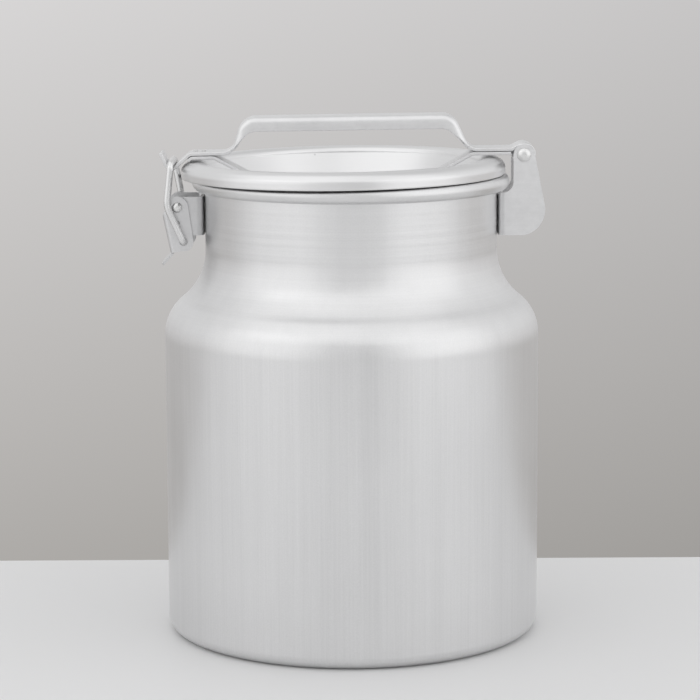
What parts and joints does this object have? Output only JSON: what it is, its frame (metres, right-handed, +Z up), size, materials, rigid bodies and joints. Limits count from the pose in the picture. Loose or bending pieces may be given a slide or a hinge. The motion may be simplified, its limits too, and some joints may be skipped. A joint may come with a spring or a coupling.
{
  "type": "milk can",
  "caption": "Round aluminium milk can with a narrow neck, a hinged dished lid with a carrying handle, and a wire and lever clamp.",
  "frame": {"origin": "centre of the flat underside, on the axis of the can", "axes": "+Z up along the can's axis, +X from the axis towards the lid hinge, -X towards the latch, +Y to the back"},
  "size_m": [0.2347, 0.23, 0.3184],
  "materials": {
    "spun_aluminium": "satin, spun, with fine upright brushing on the body",
    "sheet_aluminium": "satin rolled sheet with worn edges",
    "rivet": "bright, set cold",
    "wire": "bright drawn wire",
    "rubber": "matt"
  },
  "bodies": {
    "can": {"can_body": "spun_aluminium", "hinge_bracket": "sheet_aluminium", "hinge_bracket_rivet_lower": "rivet", "hinge_bracket_rivet_upper": "rivet", "hinge_pin": "rivet", "hinge_sleeve": "sheet_aluminium", "latch_bracket": "sheet_aluminium", "latch_bracket_rivet_lower": "rivet", "latch_bracket_rivet_upper": "rivet", "lever_pin": "rivet"},
    "lid": {"lid_shell": "spun_aluminium", "lid_seal": "rubber", "handle_strap": "sheet_aluminium", "cross_bar": "sheet_aluminium", "strap_rivet_1": "rivet", "strap_rivet_2": "rivet", "cross_bar_rivet_1": "rivet", "cross_bar_rivet_2": "rivet"},
    "lever": {"latch_lever": "sheet_aluminium"},
    "bail_wire": {"bail": "wire"}
  },
  "joints": [
    {"name": "lid_hinge", "type": "hinge", "parent": "can", "child": "lid", "pos_m": [0.1052, 0, 0.294], "axis": [0, 1, 0], "range_deg": [0, 215]},
    {"name": "lever_pivot", "type": "hinge", "parent": "can", "child": "lever", "pos_m": [-0.1056, 0, 0.2633], "axis": [0, 1, 0], "range_deg": [0, 100]},
    {"name": "bail_pivot", "type": "hinge", "parent": "lever", "child": "bail_wire", "pos_m": [-0.1019, 0, 0.2425], "axis": [0, 1, 0], "range_deg": [-65, 5]}
  ],
  "couplings": [
    {"joint": "bail_pivot", "follows": "lever_pivot", "ratio": -0.6}
  ]
}
